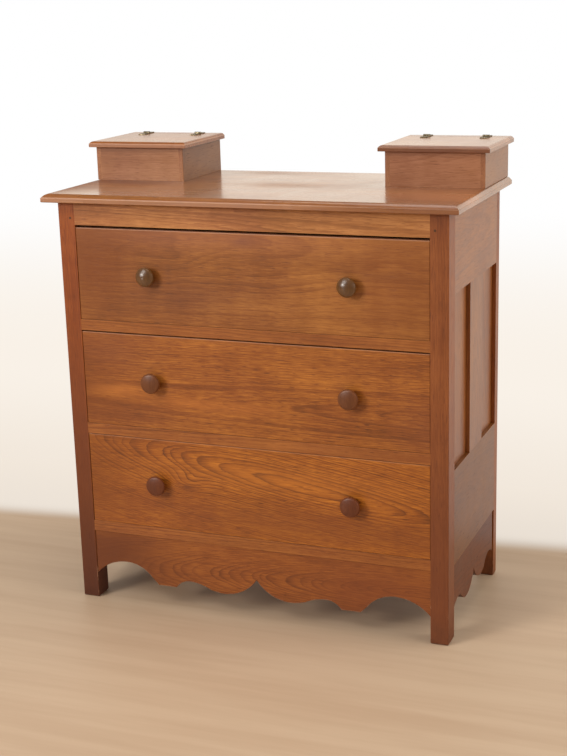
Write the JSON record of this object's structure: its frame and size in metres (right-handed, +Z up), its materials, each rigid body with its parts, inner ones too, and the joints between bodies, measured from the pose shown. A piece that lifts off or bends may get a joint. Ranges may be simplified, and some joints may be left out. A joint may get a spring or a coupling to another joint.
{
  "type": "chest of drawers",
  "caption": "Chest of drawers in oiled walnut with a moulded top, scalloped aprons, recessed side panels, turned wooden knobs and hinged lidded boxes on the top.",
  "frame": {"origin": "on the floor, in the middle of the bounding box", "axes": "+X to the right seen from the front, +Y to the back, +Z up"},
  "size_m": [0.983, 0.477, 1.0869],
  "materials": {
    "walnut_post": "oiled, satin; upright grain",
    "walnut_front_rail": "oiled, satin; grain along the rail",
    "walnut_apron": "oiled, satin; wavy pointed figure",
    "walnut_side_rail": "oiled, satin; level grain",
    "walnut_side_upright": "oiled, satin; upright grain",
    "walnut_top": "oiled, satin with a soft sheen",
    "walnut_box_front": "oiled, satin",
    "walnut_box_side": "oiled, satin",
    "walnut_lid": "oiled, satin with a soft sheen",
    "walnut_drawer_upper": "oiled, satin; plain figure",
    "walnut_drawer_middle": "oiled, satin; fine wavy figure",
    "walnut_drawer_lower": "oiled, satin; broad looping figure",
    "walnut_peg": "end grain, darkened",
    "knob_olive": "glossy, olive brown",
    "knob_brown": "satin, red brown",
    "pine_case": "bare softwood",
    "pine_drawer": "bare softwood",
    "hinge_brass": "aged, dull",
    "screw_brass": "aged, dull"
  },
  "bodies": {
    "case": {"back_boards": "pine_case", "back_bottom_rail": "pine_case", "back_top_rail": "pine_case", "box_left_back": "walnut_box_front", "box_left_front": "walnut_box_front", "box_left_sides": "walnut_box_side", "box_right_back": "walnut_box_front", "box_right_front": "walnut_box_front", "box_right_sides": "walnut_box_side", "drawer_blade_lower": "walnut_front_rail", "drawer_blade_middle": "walnut_front_rail", "drawer_blade_upper": "walnut_front_rail", "drawer_kickers": "pine_case", "drawer_runners_left": "pine_case", "drawer_runners_right": "pine_case", "front_apron": "walnut_apron", "front_top_rail": "walnut_front_rail", "hinge_leaves_fixed": "hinge_brass", "hinge_pins": "hinge_brass", "hinge_screws_fixed": "screw_brass", "joint_pegs": "walnut_peg", "post_front_left": "walnut_post", "post_front_right": "walnut_post", "post_rear_left": "walnut_post", "post_rear_right": "walnut_post", "side_apron_left": "walnut_side_rail", "side_apron_right": "walnut_side_rail", "side_lower_rail_left": "walnut_side_rail", "side_lower_rail_right": "walnut_side_rail", "side_muntin_left": "walnut_side_upright", "side_muntin_right": "walnut_side_upright", "side_panels_left": "walnut_side_upright", "side_panels_right": "walnut_side_upright", "side_top_rail_left": "walnut_side_rail", "side_top_rail_right": "walnut_side_rail", "top_board": "walnut_top"},
    "drawer_upper": {"drawer_upper_back": "pine_drawer", "drawer_upper_bottom": "pine_drawer", "drawer_upper_front": "walnut_drawer_upper", "drawer_upper_knobs": "knob_olive", "drawer_upper_side_left": "pine_drawer", "drawer_upper_side_right": "pine_drawer"},
    "drawer_middle": {"drawer_middle_back": "pine_drawer", "drawer_middle_bottom": "pine_drawer", "drawer_middle_front": "walnut_drawer_middle", "drawer_middle_knobs": "knob_brown", "drawer_middle_side_left": "pine_drawer", "drawer_middle_side_right": "pine_drawer"},
    "drawer_lower": {"drawer_lower_back": "pine_drawer", "drawer_lower_bottom": "pine_drawer", "drawer_lower_front": "walnut_drawer_lower", "drawer_lower_knobs": "knob_brown", "drawer_lower_side_left": "pine_drawer", "drawer_lower_side_right": "pine_drawer"},
    "lid_left": {"box_left_lid": "walnut_lid", "box_left_lid_hinge_leaves": "hinge_brass", "box_left_lid_hinge_screws": "screw_brass"},
    "lid_right": {"box_right_lid": "walnut_lid", "box_right_lid_hinge_leaves": "hinge_brass", "box_right_lid_hinge_screws": "screw_brass"}
  },
  "joints": [
    {"name": "drawer_upper_slide", "type": "slide", "parent": "case", "child": "drawer_upper", "axis": [0, -1, 0], "range_m": [0, 0.32]},
    {"name": "drawer_middle_slide", "type": "slide", "parent": "case", "child": "drawer_middle", "axis": [0, -1, 0], "range_m": [0, 0.32]},
    {"name": "drawer_lower_slide", "type": "slide", "parent": "case", "child": "drawer_lower", "axis": [0, -1, 0], "range_m": [0, 0.32]},
    {"name": "lid_left_hinge", "type": "hinge", "parent": "case", "child": "lid_left", "pos_m": [-0.364, 0.2051, 1.0842], "axis": [-1, 0, 0], "range_deg": [0, 105]},
    {"name": "lid_right_hinge", "type": "hinge", "parent": "case", "child": "lid_right", "pos_m": [0.364, 0.2051, 1.0842], "axis": [-1, 0, 0], "range_deg": [0, 105]}
  ]
}
